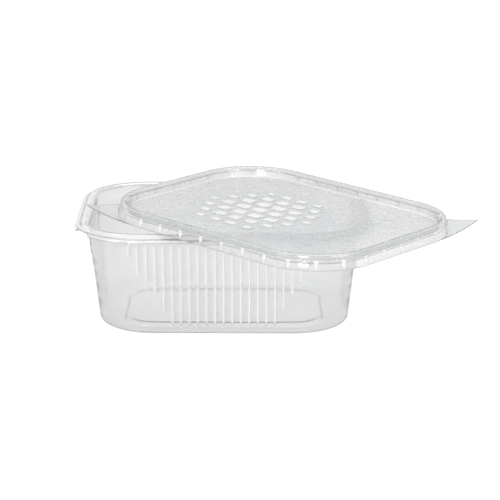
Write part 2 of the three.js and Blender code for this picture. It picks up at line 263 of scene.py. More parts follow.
def tub_outline(sizes, long_places, short_places):
    """A rounded rectangle with columns at fixed places on the ribbed walls.
    Returns points, normals, each column's place along its wall (NaN at a corner) and if that wall is long.
    The ribbed part takes up less than half of a corner's turn, or the ring would fold over itself."""
    half_x, half_y, radius = sizes
    straight_x, straight_y = half_x - radius, half_y - radius
    edge_x = min(LONG_RIB_FIELD, straight_x + radius * CORNER_SHARE)
    edge_y = min(SHORT_RIB_FIELD, straight_y + radius * CORNER_SHARE)
    ys = short_places * edge_y / SHORT_RIB_FIELD
    xs = long_places[::-1] * edge_x / LONG_RIB_FIELD

    def lean(place, straight):
        return np.arcsin(np.clip((np.abs(place) - straight) / radius, 0, 1)) * np.sign(place)

    first = lean(edge_y, straight_y)
    last = math.pi / 2 - lean(edge_x, straight_x)
    corner = np.linspace(first, last, CORNER_COLUMNS + 2)[1:-1]
    right = lean(ys, straight_y)
    top = math.pi / 2 - lean(xs, straight_x)
    angles = np.concatenate([right, corner, top, math.pi - corner[::-1]])
    along = np.concatenate([short_places, corner * np.nan, long_places[::-1], corner * np.nan])
    on_long = np.concatenate([ys * 0, corner * 0, xs * 0 + 1, corner * 0])
    normals = np.stack([np.cos(angles), np.sin(angles)], 1)
    centre_x = np.concatenate([ys * 0 + straight_x, corner * 0 + straight_x,
                               np.clip(xs, -straight_x, straight_x), corner * 0 - straight_x])
    centre_y = np.concatenate([np.clip(ys, -straight_y, straight_y), corner * 0 + straight_y,
                               xs * 0 + straight_y, corner * 0 + straight_y])
    points = np.stack([centre_x, centre_y], 1) + radius * normals
    return (np.concatenate([points, -points]), np.concatenate([normals, -normals]),
            np.concatenate([along, along]), np.concatenate([on_long, on_long]))


def rib_height(along, on_long, z):
    """How far the ribs stand out of a wall at places along it, at one height."""
    height = np.zeros(len(along))
    for is_long, full in ((1, LONG_WALL_FULL_RIBS), (0, SHORT_WALL_FULL_RIBS)):
        ends = list(RIB_SHORT_ENDS[::-1]) + [RIB_FULL_END] * full + list(RIB_SHORT_ENDS)
        for i, end in enumerate(ends):
            middle = (i - (len(ends) - 1) / 2) * RIB_PITCH
            past = max(0.0, end + RIB_WIDTH / 2 - z, z - RIB_TOP + RIB_WIDTH / 2)
            far = np.hypot(along - middle, past) / (RIB_WIDTH / 2)
            inside = (on_long == is_long) & (far < 1)
            height[inside] = RIB_HEIGHT * np.cos(far[inside] * math.pi / 2) ** RIB_SHARPNESS
    return height


def lid_columns():
    """Distances along the lid's outline, from the middle of its +X side: close together on gussets."""
    offsets = np.array(GUSSET_COLUMNS) * GUSSET_WIDTH
    between = np.linspace(0, GUSSET_PITCH, SPACES_BETWEEN_GUSSETS + 1)[1:-1]
    places = np.concatenate([offsets, between])
    return np.sort(np.concatenate([i * GUSSET_PITCH + places for i in range(GUSSET_COUNT)]))


def lid_outline(sizes, distances):
    """Points and normals of a ring of the lid, at distances measured along the lid's outermost outline."""
    straight_x, straight_y = LID[0] - LID[2], LID[1] - LID[2]
    arc = LID[2] * math.pi / 2
    half = 2 * straight_x + 2 * straight_y + 2 * arc
    s = np.mod(distances, half)
    flip = np.where(np.mod(distances, 2 * half) >= half, -1.0, 1.0)
    stops = [straight_y, arc, 2 * straight_x, arc, straight_y]
    starts = np.cumsum([0] + stops)
    into = [np.clip(s - a, 0, d) for a, d in zip(starts, stops)]
    angles = (into[1] + into[3]) / LID[2]
    centre_x = straight_x - into[2]
    centre_y = np.where(s > starts[1], straight_y - into[4], into[0])
    normals = np.stack([np.cos(angles), np.sin(angles)], 1)
    shrink = LID[0] - sizes[0]
    points = np.stack([centre_x, centre_y], 1) + (LID[2] - shrink) * normals
    return points * flip[:, None], normals * flip[:, None]


# Meshes

def grid_mesh(name, rings, materials=()):
    """A closed mesh through rings of points in millimetres, capped at both ends."""
    count = len(rings[0])
    points = np.concatenate(rings) * MM
    faces = []
    for r in range(len(rings) - 1):
        for i in range(count):
            a, b = r * count + i, r * count + (i + 1) % count
            faces.append((a, b, b + count, a + count))
    faces.append(tuple(range(count - 1, -1, -1)))
    last = (len(rings) - 1) * count
    faces.append(tuple(range(last, last + count)))
    mesh = bpy.data.meshes.new(name)
    mesh.from_pydata(points.tolist(), [], faces)
    piece = bpy.data.objects.new(name, mesh)
    bpy.context.scene.collection.objects.link(piece)
    for material in materials:
        mesh.materials.append(material)
    return piece


def placed(name, build):
    """An object in the scene from a finished build, which is freed."""
    mesh = bpy.data.meshes.new(name)
    build.to_mesh(mesh)
    build.free()
    piece = bpy.data.objects.new(name, mesh)
    bpy.context.scene.collection.objects.link(piece)
    return piece


def combine(piece, others, operation):
    """Joins other closed meshes to a piece, or cuts them out of it, and removes them."""
    for other in others:
        change = piece.modifiers.new("join", "BOOLEAN")
        change.operation = operation
        change.solver = "MANIFOLD"
        change.object = other
        with bpy.context.temp_override(object=piece, active_object=piece):
            bpy.ops.object.modifier_apply(modifier=change.name)
        bpy.data.objects.remove(other)
    return piece


def joined(name, pieces):
    """One object from several closed meshes that don't touch."""
    build = bmesh.new()
    for piece in pieces:
        build.from_mesh(piece.data)
        bpy.data.objects.remove(piece)
    return placed(name, build)


def shade(piece, crease_degrees):
    """Smooth shading with creases at sharp edges. Level faces are left flat."""
    build = bmesh.new()
    build.from_mesh(piece.data)
    for face in build.faces:
        face.smooth = abs(face.normal.z) < LEVEL
    for edge in build.edges:
        edge.smooth = edge.calc_face_angle(0) < math.radians(crease_degrees)
    build.to_mesh(piece.data)
    build.free()


# The tub

def rib_stations():
    """Heights on the ribbed wall that need a ring: close together where ribs begin and end."""
    reach = RIB_WIDTH / 2
    heights = set()
    for end in (RIB_FULL_END, *RIB_SHORT_ENDS):
        for share in RIB_END_SHARES:
            heights.add(round(end + reach * share, 3))
    for share in RIB_TOP_SHARES:
        heights.add(round(RIB_TOP - reach * (1 - share) - RIB_TOP_CLEARANCE, 3))
    return sorted(heights)


def tub_mesh(materials):
    """The tub as one closed skin: under its base, up the ribbed wall, round the rim and down inside."""
    panel_top = PANEL_INSET + PANEL_SLOPE
    under = [
        knot(BASE, panel_top + PANEL_FLAT, PANEL_RISE),
        knot(BASE, panel_top, PANEL_RISE, PANEL_BEND),
        knot(BASE, PANEL_INSET, 0, PANEL_BEND),
        *fillet(0),
    ]
    ribbed = [knot(wall_sizes(z), 0, z) for z in rib_stations()]
    rim = [
        knot(wall_sizes(WALL_TOP), 0, WALL_TOP, 0.35),
        knot(RIM, BAND_INSET, SHOULDER_Z, 0.4),
        knot(RIM, BAND_INSET - 0.15, RIM_TOP - 2.0, 0.8),
        knot(RIM, 5.4, RIM_TOP - 0.9, 0.5),
        knot(RIM, 4.8, RIM_TOP - WALL, 0.3),
        knot(RIM, 3.65, RIM_TOP - WALL, 0.3),
        knot(RIM, 3.35, RIM_TOP - 1.3, 0.3),
        knot(RIM, 2.9, SHOULDER_Z + 3.55, 0.35),
        knot(RIM, 1.2, SHOULDER_Z + 3.3, 0.3),
        knot(RIM, 0.65, SKIRT_BOTTOM, 0.12),
        knot(RIM, 0, SKIRT_BOTTOM, 0.12),
        knot(RIM, 0.3, SKIRT_BOTTOM + 1.0, 0.4),
        knot(RIM, 0.8, SKIRT_BOTTOM + 1.75, 0.4),
        knot(RIM, 1.5, SKIRT_BOTTOM + 2.05, 0.3),
        knot(RIM, 2.35, SKIRT_BOTTOM + 2.15, 0.3),
        knot(RIM, 2.7, RIM_TOP - 1.0, 0.3),
        knot(RIM, 3.0, RIM_TOP - 0.35, 0.3),
        knot(RIM, 3.7, RIM_TOP, 0.5),
        knot(RIM, 4.9, RIM_TOP, 0.5),
        knot(RIM, 6.0, RIM_TOP - 0.5, 0.5),
        knot(RIM, 6.9, RIM_TOP - 1.6, 0.8),
        knot(RIM, BAND_INSET + WALL, SHOULDER_Z + 0.3, 0.4),
        knot(wall_sizes(WALL_TOP), WALL, WALL_TOP, 0.4),
        *(knot(wall_sizes(z), WALL, z) for z in INNER_WALL_HEIGHTS),
        *fillet(WALL)[::-1],
        knot(BASE, PANEL_INSET, WALL, PANEL_BEND),
        knot(BASE, panel_top, PANEL_RISE + WALL, PANEL_BEND),
        knot(BASE, panel_top + PANEL_FLAT, PANEL_RISE + WALL),
    ]
    long_places, short_places = tub_columns()
    rings = []
    for half_x, half_y, radius, z in soften(under):
        points, *_ = tub_outline((half_x, half_y, radius), long_places, short_places)
        rings.append(np.column_stack([points, np.full(len(points), z)]))
    for half_x, half_y, radius, z, _ in ribbed:
        points, normals, along, on_long = tub_outline((half_x, half_y, radius), long_places, short_places)
        out = rib_height(along, on_long, z)
        points = points + normals * out[:, None]
        rings.append(np.column_stack([points, np.full(len(points), z)]))
    for half_x, half_y, radius, z in soften([ribbed[-1], *rim])[1:]:
        points, *_ = tub_outline((half_x, half_y, radius), long_places, short_places)
        rings.append(np.column_stack([points, np.full(len(points), z)]))
    return grid_mesh("tub_shell", rings, materials)


def wall_reach(along, z, on_long):
    """How far the wall's outer face stands out, at a place along one wall and a height."""
    half_x, half_y, radius = wall_sizes(z)
    half_length, half_depth = (half_x, half_y) if on_long else (half_y, half_x)
    into_corner = max(0.0, abs(along) - (half_length - radius))
    return half_depth - radius + math.sqrt(max(0.0, radius * radius - into_corner * into_corner))


def inset(x, y, sizes):
    """How far a place lies inside a rounded rectangle."""
    into_x = abs(x) - (sizes[0] - sizes[2])
    into_y = abs(y) - (sizes[1] - sizes[2])
    if into_x > 0 and into_y > 0:
        return sizes[2] - math.hypot(into_x, into_y)
    return sizes[2] - max(into_x, into_y)


def fade(along, least, middle, length):
    """A factor that changes steadily along a wall, between a least value and 1."""
    return min(1.0, max(least, middle + along / length))


def rib_highlight_and_shade(along, across, z, on_long, full):
    """A rib's painted crest highlight and far-flank shade on one pair of walls, or None off the ribs."""
    furthest = (full - 1) / 2 + len(RIB_SHORT_ENDS)
    index = round(along / RIB_PITCH)
    if abs(index) > furthest or abs(across) < wall_reach(along, z, on_long) - WALL / 2:
        return None
    ends = [RIB_FULL_END] * (full // 2 + 1) + list(RIB_SHORT_ENDS)
    if z <= ends[abs(index)]:
        return None
    off = along - index * RIB_PITCH
    # Painted highlight along the crest, painted shade along the far flank; each fades across the wall.
    light = RIB_PAINTED_HIGHLIGHT * math.exp(-(off / RIB_HIGHLIGHT_SPREAD) ** 2) * fade(along, *RIB_HIGHLIGHT_FADE)
    shade_and_grey = math.exp(-((off - RIB_SHADE_LINE_PLACE) / RIB_SHADE_LINE_SPREAD) ** 2) * fade(along, *RIB_SHADE_FADE)
    return light, shade_and_grey


def tub_tone(place):
    """Tones at a place: lighter rim, painted shade on base and skirt edge, rib marks, and both 0 elsewhere.
    """
    x, y, z = place
    # Painted shade: a line along the skirt's lower edge.
    if abs(z - SKIRT_BOTTOM) < EDGE_DEPTH and inset(x, y, RIM) < EDGE_WIDTH:
        return 0.0, EDGE_PAINTED_SHADE
    if z > SKIRT_BOTTOM:
        return RIM_LIGHT, 0.0
    # Painted shade: the base's rounded edge is greyer.
    if z < BASE_FILLET and inset(x, y, BASE) < BASE_FILLET:
        return 0.0, BASE_PAINTED_SHADE
    if not RIB_FULL_END < z < RIB_TOP:
        return NOTHING
    on_long_wall = rib_highlight_and_shade(x, y, z, True, LONG_WALL_FULL_RIBS)
    on_short_wall = rib_highlight_and_shade(y, x, z, False, SHORT_WALL_FULL_RIBS)
    return on_long_wall or on_short_wall or NOTHING


def mark(piece, tone):
    """Stores two tones at each point, light and shade-and-grey, for the material to look up."""
    tones = np.array([tone(vertex.co / MM) for vertex in piece.data.vertices])
    for name, values in zip(("light", "shade_and_grey"), tones.T):
        layer = piece.data.attributes.new(name, "FLOAT", "POINT")
        layer.data.foreach_set("value", values.astype(np.float32).copy())


def block(name, length, width, height, place, turn):
    """A box in millimetres, centred on its place."""
    build = bmesh.new()
    bmesh.ops.create_cube(build, size=1)
    matrix = Matrix.Translation(Vector(place) * MM) @ Matrix.Rotation(turn, 4, "Z")
    matrix = matrix @ Matrix.Diagonal((length * MM, width * MM, height * MM, 1))
    bmesh.ops.transform(build, matrix=matrix, verts=build.verts)
    return placed(name, build)


def make_tub(materials):
    """The tub with its notches cut and its tones marked, in its place."""
    tub = tub_mesh(materials)
    notches = []
    for side in (-1, 1):
        angle = NOTCH_ANGLE + (0 if side < 0 else math.pi)
        reach = RIM[2] + NOTCH_DEPTH * NOTCH_SHARE_INSIDE
        place = (side * (RIM[0] - RIM[2]) + reach * math.cos(angle),
                 side * (RIM[1] - RIM[2]) + reach * math.sin(angle), SKIRT_BOTTOM)
        notches.append(block("notch", NOTCH_DEPTH * 2, NOTCH_LENGTH, NOTCH_HEIGHT * 2, place, angle))
    combine(tub, notches, "DIFFERENCE")
    mark(tub, tub_tone)
    tub.data.transform(Matrix.Translation(TUB_MIDDLE))
    shade(tub, CREASE_DEGREES)
    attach(tub, "root")
    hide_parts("tub")


# The lid

def off_gusset(distance):
    """How far places along the lid's outline are from the middle of the nearest gusset, with a sign."""
    return np.mod(distance + GUSSET_PITCH / 2, GUSSET_PITCH) - GUSSET_PITCH / 2


def gusset_height(distances, z):
    """How far the gussets stand out of the skirt at distances along it, at one height."""
    share = (z - GUSSET_TIP) / (GUSSET_TOP - GUSSET_TIP)
    if not 0 < share <= 1:
        return np.zeros(len(distances))
    off = np.abs(off_gusset(distances))
    return GUSSET_REACH * share * np.clip(1 - off / (GUSSET_WIDTH / 2 * share), 0, 1)


def lid_mesh(materials):
    """The lid as one closed skin: panel underside, bead inside, skirt, bead outside and panel top."""
    section = [
        knot(LID, LID_PANEL_INSET + 1.0, LID_PANEL_UNDER),
        knot(LID, LID_PANEL_INSET, LID_PANEL_UNDER),
        knot(LID, 5.2, LID_PANEL_UNDER, 0.5),
        knot(LID, 4.8, LID_PANEL_UNDER + 0.9, 0.5),
        knot(LID, 4.3, LID_HEIGHT - 1.9, 0.7),
        knot(LID, 3.6, LID_HEIGHT - 0.9, 0.5),
        knot(LID, 2.8, LID_HEIGHT - WALL, 0.5),
        knot(LID, 2.1, LID_HEIGHT - 1.0, 0.4),
        knot(LID, 1.85, LID_HEIGHT - 1.9, 0.5),
        knot(LID, 1.8, 4.5, 0.3),
        knot(LID, 1.2, 4.0, 0.3),
        knot(LID, 0.6, 0, 0.12),
        knot(LID, 0, 0, 0.12),
        knot(LID, 0.12, 0.85),
        knot(LID, 0.15, 1.1),
        knot(LID, 0.3, 2.05),
        knot(LID, 0.45, 3.1),
        knot(LID, 0.6, 4.0),
        knot(LID, 0.635, GUSSET_TOP - 0.02),
        knot(LID, 0.64, GUSSET_TOP + 0.02),
        knot(LID, 0.75, 4.55, 0.12),
        knot(LID, 1.2, 4.8, 0.25),
        knot(LID, 1.25, LID_HEIGHT - 1.5, 0.6),
        knot(LID, 1.55, LID_HEIGHT - 0.6, 0.5),
        knot(LID, 2.2, LID_HEIGHT - 0.1, 0.4),
        knot(LID, 3.0, LID_HEIGHT, 0.5),
        knot(LID, 4.0, LID_HEIGHT - 0.3, 0.5),
        knot(LID, 4.8, LID_HEIGHT - 1.3, 0.8),
        knot(LID, 5.4, LID_PANEL_TOP + 0.7, 0.6),
        knot(LID, 5.8, LID_PANEL_TOP, 0.5),
        knot(LID, LID_PANEL_INSET + 0.4, LID_PANEL_TOP),
        knot(LID, LID_PANEL_INSET + 1.2, LID_PANEL_TOP),
    ]
    distances = lid_columns()
    softened = soften(section)
    outer_start = next(i for i, ring in enumerate(softened) if ring[0] > LID[0] - OUTERMOST)
    rings = []
    for i, (half_x, half_y, radius, z) in enumerate(softened):
        points, normals = lid_outline((half_x, half_y, radius), distances)
        if i > outer_start and half_x > LID[0] - GUSSET_DEEPEST:
            points = points + normals * gusset_height(distances, z)[:, None]
        rings.append(np.column_stack([points, np.full(len(points), z)]))
    return grid_mesh("lid_shell", rings, materials)


def bend(start, handle, end, t):
    """A point on a curve with one handle."""
    return [(1 - t) ** 2 * a + 2 * t * (1 - t) * h + t * t * b for a, h, b in zip(start, handle, end)]


def flap_edge(t):
    """A point on a flap's free edge, from the middle of its corner: two curves that meet at the tip."""
    if t < 0.5:
        return bend(FLAP_START, FLAP_START_HANDLE, FLAP_TIP, t * 2)
    return bend(FLAP_TIP, FLAP_END_HANDLE, FLAP_END, t * 2 - 1)


def flap_rows(lift, swapped):
    """Rows of points over one face of a flap, from the skirt's corner to its edge, curled up at the tip."""
    radius = LID[2]
    centre = (LID[0] - radius, LID[1] - radius)
    first, last = FLAP_ROOT_START / radius, math.pi / 2 + FLAP_ROOT_END / radius
    tip_reach = math.hypot(*FLAP_TIP) - radius
    rows = []
    for i in range(FLAP_ALONG + 1):
        t = i / FLAP_ALONG
        angle = first + (last - first) * t
        root = ((radius - FLAP_OVERLAP) * math.cos(angle), (radius - FLAP_OVERLAP) * math.sin(angle))
        edge = flap_edge(t)
        row = []
        for j in range(FLAP_ACROSS + 1):
            u, v = (r + (e - r) * j / FLAP_ACROSS for r, e in zip(root, edge))
            reach = max(0.0, math.hypot(u, v) - radius) / tip_reach
            x, y = (-centre[0] - v, -centre[1] - u) if swapped else (centre[0] + u, centre[1] + v)
            row.append((x * MM, y * MM, (lift + FLAP_CURL * reach ** FLAP_CURL_POWER) * MM))
        rows.append(row)
    return rows


def flap(swapped):
    """A thin pull flap from the skirt's corner to a pointed edge. Swapped puts it on the opposite corner."""
    build = bmesh.new()
    lifts = (FLAP_LIFT, FLAP_LIFT + FLAP_THICKNESS)
    lower, upper = [[[build.verts.new(p) for p in row] for row in flap_rows(lift, swapped)] for lift in lifts]

    def quad(*corners):
        build.faces.new(corners)

    for i in range(FLAP_ALONG):
        for j in range(FLAP_ACROSS):
            quad(lower[i][j], lower[i + 1][j], lower[i + 1][j + 1], lower[i][j + 1])
            quad(upper[i][j], upper[i][j + 1], upper[i + 1][j + 1], upper[i + 1][j])
        quad(lower[i][0], upper[i][0], upper[i + 1][0], lower[i + 1][0])
        quad(lower[i][-1], lower[i + 1][-1], upper[i + 1][-1], upper[i][-1])
    for j in range(FLAP_ACROSS):
        quad(lower[0][j], lower[0][j + 1], upper[0][j + 1], upper[0][j])
        quad(lower[-1][j], upper[-1][j], upper[-1][j + 1], lower[-1][j + 1])
    bmesh.ops.recalc_face_normals(build, faces=build.faces)
    return placed("flap", build)


def panel_block(x, y, half_x, half_y, radius):
    """A low rounded block with a lower border, on the lid's panel."""
    levels = (
        (0, LID_PANEL_TOP - TILE_SUNK),
        (0, LID_PANEL_TOP + TILE_STEP),
        (TILE_BORDER, LID_PANEL_TOP + TILE_STEP),
        (TILE_BORDER + TILE_SLOPE, LID_PANEL_TOP + TILE_RISE),
    )
    rings = []
    for inward, z in levels:
        ring = []
        for quarter, (sx, sy) in enumerate(((1, 1), (-1, 1), (-1, -1), (1, -1))):
            for step in range(TILE_TURNS + 1):
                angle = (quarter + step / TILE_TURNS) * math.pi / 2
                ring.append((x + sx * (half_x - radius) + (radius - inward) * math.cos(angle),
                             y + sy * (half_y - radius) + (radius - inward) * math.sin(angle), z))
        rings.append(np.array(ring))
    return grid_mesh("tile", rings)


def pattern_blocks():
    """A round field of tiles in offset rows, smaller towards its edge, and a straight row of short bars."""
    middle_x, middle_y, field = TILE_FIELD
    row_gap = TILE_PITCH * math.sqrt(3) / 2
    rows = math.ceil(field / row_gap)
    blocks = []
    for row in range(-rows, rows + 1):
        for column in range(-rows - 1, rows + 1):
            x = column * TILE_PITCH + (row % 2) * TILE_PITCH / 2
            y = row * row_gap
            far = math.hypot(x, y) / field
            if far < 1:
                half = TILE_LARGEST + (TILE_SMALLEST - TILE_LARGEST) * far * far
                blocks.append(panel_block(middle_x + x, middle_y + y,
                                          half, half * TILE_DEPTH_SHARE, half * TILE_ROUNDING))
    x, start, end, count = BAR_ROW
    for y in np.linspace(start, end, count):
        blocks.append(panel_block(x, y, BAR_LENGTH / 2, BAR_WIDTH / 2, BAR_WIDTH * TILE_ROUNDING))
    return blocks


def outline_place(x, y):
    """Distance along the lid's outermost outline of the place nearest to a point."""
    radius = LID[2]
    straight_x, straight_y = LID[0] - radius, LID[1] - radius
    arc = radius * math.pi / 2
    done = 0.0
    if y < 0:
        x, y = -x, -y
        done = 2 * (straight_x + straight_y + arc)
    if x > straight_x and y < straight_y:
        return done + y
    if x > straight_x:
        return done + straight_y + radius * math.atan2(y - straight_y, x - straight_x)
    if x > -straight_x:
        return done + straight_y + arc + straight_x - x
    done += straight_y + arc + 2 * straight_x
    if y > straight_y:
        return done + radius * math.atan2(-x - straight_x, y - straight_y)
    return done + arc + straight_y - y


def on_bead_outside(x, y, z):
    """Whether a place on the lid belongs to the outer skin of its bead."""
    skin = min(BEAD_OUTER_INSET, BEAD_SIDE_INSET + max(0.0, z - BEAD_SHOULDER) * BEAD_LEAN)
    return z > BEAD_FOOT and inset(x, y, LID) < skin


def panel_tone(z):
    """Lighter on a tile, painted shade on its border, and greyer on the panel round it."""
    rise = z - LID_PANEL_TOP
    if rise > TILE_STEP + TOUCH:
        return TILE_LIGHT, 0.0
    return 0.0, TILE_BORDER_PAINTED_SHADE if rise > TILE_STEP - TOUCH else PANEL_DARK


def gusset_highlight_and_shade(x, y, z):
    """A painted highlight on a gusset, and painted shade in a thin line beside it."""
    share = (z - GUSSET_TIP) / (GUSSET_TOP - GUSSET_TIP)
    behind_skin = inset(x, y, LID) > SKIRT_FACE_INSET + SKIRT_FACE_LEAN * z
    if behind_skin or not 0 < share < GUSSET_TONE_END:
        return NOTHING
    off = off_gusset(outline_place(x, y))
    half = GUSSET_WIDTH / 2 * min(share, 1)
    # Painted highlight on the gusset's face, painted shade in a line beside it.
    light = GUSSET_PAINTED_HIGHLIGHT if abs(off) < half * GUSSET_HIGHLIGHT_SHARE else 0.0
    return light, math.exp(-((off + half + GUSSET_SHADE_LINE_PLACE) / GUSSET_SHADE_LINE_SPREAD) ** 2)


def lid_tone(place):
    """Tones at a place: panel, greyer flaps, painted shade on the bead and edge, and gussets."""
    x, y, z = place
    inward = inset(x, y, LID)
    if inward > PATTERN_INSET:
        return panel_tone(z)
    if inward < -FLAP_TONE_START and z < FLAP_TONE_TOP:
        return 0.0, FLAP_DARK
    if on_bead_outside(x, y, z):
        # Painted shade: the bead's outside is greyer along its two front sides, fading towards the back.
        towards = (x * BEAD_SHADE_TOWARDS[0] + y * BEAD_SHADE_TOWARDS[1]) / LID[1]
        return 0.0, BEAD_PAINTED_SHADE * min(1.0, max(BEAD_LEAST, BEAD_HALF + towards))
    # Painted shade: a line along the skirt's lower edge.
    if z < EDGE_DEPTH and -EDGE_OUTSIDE < inward < EDGE_WIDTH:
        return 0.0, LID_EDGE_PAINTED_SHADE
    return gusset_highlight_and_shade(x, y, z)


def frost(face):
    """How frosted a face of the lid is: the panel's top wholly, the bead's outside in part."""
    x, y, z = face.center / MM
    if inset(x, y, LID) > FROSTED_INSET and face.normal.z > UPWARD:
        return 1.0
    return BEAD_FROST if on_bead_outside(x, y, z) else 0.0


def make_lid(materials):
    """The lid with its flaps and pattern joined on and its tones marked, tilted into its place."""
    lid = lid_mesh(materials)
    combine(lid, [flap(False), flap(True), joined("tiles", pattern_blocks())], "UNION")
    mark(lid, lid_tone)
    frosted = np.array([frost(face) for face in lid.data.polygons], np.float32)
    lid.data.attributes.new("frost", "FLOAT", "FACE").data.foreach_set("value", frosted)
    shade(lid, CREASE_DEGREES)
    place = Matrix.Translation(TUB_MIDDLE + Vector(LID_PLACE) * MM)
    lid.data.transform(place @ Euler(LID_TILT, "ZYX").to_matrix().to_4x4())
    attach(lid, "root")
    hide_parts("lid")


# Materials

PLASTIC_IOR = 1.49
PAINTED_LIGHT_HAZE = 0.8
FROST_HAZE = 0.20
CLEAR_ROUGHNESS = (0.05, 0.09)
FROST_ROUGHNESS = (0.26, 0.29)
GRAIN_SCALE = 700.0
UNEVEN_SCALE = 120.0
WAVE_SCALE = 250.0
WAVE_DETAIL = 2.0
WAVE_DEPTH = 0.000003
SHADE_AND_GREY_TONE = (0.78, 0.80, 0.82)
SHADE_AND_GREY_SHARE = 0.8
LIGHT_TONE = (1.0, 1.0, 0.995)
LIGHT_SHARE = 1.0
INNER_TONE = (0.76, 0.78, 0.80, 1)
TUB_TONES = ((0.945, 0.95, 0.955), (0.965, 0.965, 0.965))
TUB_HAZE = 0.09
TUB_DENSITY = 20.0
LID_TONES = ((0.918, 0.922, 0.926), (0.925, 0.927, 0.93))
LID_HAZE = 0.12
LID_DENSITY = 40.0


def node_material(name):
    """A new material with its nodes and links."""
    material = bpy.data.materials.new(name)
    material.use_nodes = True
    return material, material.node_tree.nodes, material.node_tree.links


def ramp(nodes, links, source, low_value, high_value, low_at=0.3, high_at=0.7):
    """Maps a texture's value to a range."""
    node = nodes.new("ShaderNodeMapRange")
    node.inputs["From Min"].default_value = low_at
    node.inputs["From Max"].default_value = high_at
    node.inputs["To Min"].default_value = low_value
    node.inputs["To Max"].default_value = high_value
    links.new(source, node.inputs["Value"])
    return node.outputs["Result"]


def noise(nodes, links, scale, detail=3.0):
    """Noise in the object's own space, in metres."""
    place = nodes.new("ShaderNodeTexCoord")
    texture = nodes.new("ShaderNodeTexNoise")
    texture.inputs["Scale"].default_value = scale
    texture.inputs["Detail"].default_value = detail
    links.new(place.outputs["Object"], texture.inputs["Vector"])
    return texture.outputs["Fac"]


def attribute_mix(nodes, links, attribute, amount, colour_socket, target):
    """Mixes a colour towards another one where a mesh attribute says so."""
    tone = nodes.new("ShaderNodeAttribute")
    tone.attribute_name = attribute
    share = nodes.new("ShaderNodeMath")
    share.operation = "MULTIPLY"
    share.inputs[1].default_value = amount
    mix = nodes.new("ShaderNodeMix")
    mix.data_type = "RGBA"
    mix.inputs["B"].default_value = (*target, 1)
    links.new(tone.outputs["Fac"], share.inputs[0])
    links.new(share.outputs["Value"], mix.inputs["Factor"])
    links.new(colour_socket, mix.inputs["A"])
    return mix.outputs["Result"]


def mix_by(nodes, links, attribute, start, end):
    """A number that goes from one value to another with a mesh attribute. Either may be a socket."""
    tone = nodes.new("ShaderNodeAttribute")
    tone.attribute_name = attribute
    mix = nodes.new("ShaderNodeMix")
    links.new(tone.outputs["Fac"], mix.inputs["Factor"])
    for name, value in (("A", start), ("B", end)):
        if isinstance(value, float):
            mix.inputs[name].default_value = value
        else:
            links.new(value, mix.inputs[name])
    return mix.outputs["Result"]


def plastic(name, tones, haze, density):
    """Thin moulded plastic: clear or frosted, with a little haze, uneven flow marks and a fine grain."""
    material, nodes, links = node_material(name)
    shader = nodes["Principled BSDF"]
    shader.inputs["IOR"].default_value = PLASTIC_IOR
    clear = mix_by(nodes, links, "frost", 1 - haze, 1 - FROST_HAZE)
    # The light tone makes the plastic hazier, so it whitens under the lamps: painted highlights and lighter
    # parts.
    links.new(mix_by(nodes, links, "light", clear, 1 - PAINTED_LIGHT_HAZE), shader.inputs["Transmission Weight"])
    mix = nodes.new("ShaderNodeMix")
    mix.data_type = "RGBA"
    mix.inputs["A"].default_value = (*tones[0], 1)
    mix.inputs["B"].default_value = (*tones[1], 1)
    links.new(ramp(nodes, links, noise(nodes, links, GRAIN_SCALE), 0.0, 1.0), mix.inputs["Factor"])
    # Base colour: greyer by the shade-and-grey tone (mostly painted shade), whiter by the light tone.
    colour = attribute_mix(nodes, links, "shade_and_grey", SHADE_AND_GREY_SHARE, mix.outputs["Result"], SHADE_AND_GREY_TONE)
    colour = attribute_mix(nodes, links, "light", LIGHT_SHARE, colour, LIGHT_TONE)
    links.new(colour, shader.inputs["Base Color"])
    uneven = noise(nodes, links, UNEVEN_SCALE)
    smooth = ramp(nodes, links, uneven, *CLEAR_ROUGHNESS)
    matt = ramp(nodes, links, uneven, *FROST_ROUGHNESS)
    links.new(mix_by(nodes, links, "frost", smooth, matt), shader.inputs["Roughness"])
    bump = nodes.new("ShaderNodeBump")
    bump.inputs["Strength"].default_value = 1.0
    bump.inputs["Distance"].default_value = WAVE_DEPTH
    links.new(noise(nodes, links, WAVE_SCALE, WAVE_DETAIL), bump.inputs["Height"])
    links.new(bump.outputs["Normal"], shader.inputs["Normal"])
    volume = nodes.new("ShaderNodeVolumeAbsorption")
    volume.inputs["Color"].default_value = INNER_TONE
    volume.inputs["Density"].default_value = density
    links.new(volume.outputs["Volume"], nodes["Material Output"].inputs["Volume"])
    return material


# The floor and the light

# The pool is centred behind the tub, so the floor glows less under it: a painted shadow beneath the tub.
POOL_MIDDLE = (0.0, 0.16)
POOL_REACH = (0.10, 0.24)
POOL_EDGE = (0.3, 1.1)
FLOOR_RADIUS = 6.0
FLOOR_SIDES = 96
FLOOR_GAP = 0.0003
FLOOR_SEEN = 1.02
FLOOR_LIGHT = 0.96
FLOOR_DIM = 0.76
FLOOR_ROUGHNESS = 0.8
FLOOR_TONES = ((0.04, 0.04, 0.04, 1), (0.06, 0.06, 0.06, 1))
FLOOR_GRAIN_SCALE = 3.0
ROOM = 0.74
ROOM_TONE = (0.98, 0.99, 1.0, 1)
BACKDROP = 0.80
BACKDROP_TOWARDS = (0, 1, 0.2)
BACKDROP_EDGE = (0.5, 0.95)
CEILING = 0.82
CEILING_EDGE = (0.45, 0.85)
AIM = (0, 0, 0.03)
WARM = (1.0, 0.965, 0.92)
WHITE = (1.0, 1.0, 1.0)
TOP_PLACE = (0.0, 0.2, 1.4)
TOP_SIZE = (1.4, 1.0)
TOP_POWER = 18.0

# Lamps in front: name, direction and height in degrees, distance, size and power
FRONT_LAMPS = (
    ("front", -105, 18, 1.2, (0.30, 0.75), 10.0),
    ("front_left", -140, 20, 1.2, (0.40, 0.80), 3.5),
    ("front_right", -45, 25, 1.2, (0.60, 0.80), 8.0),
)


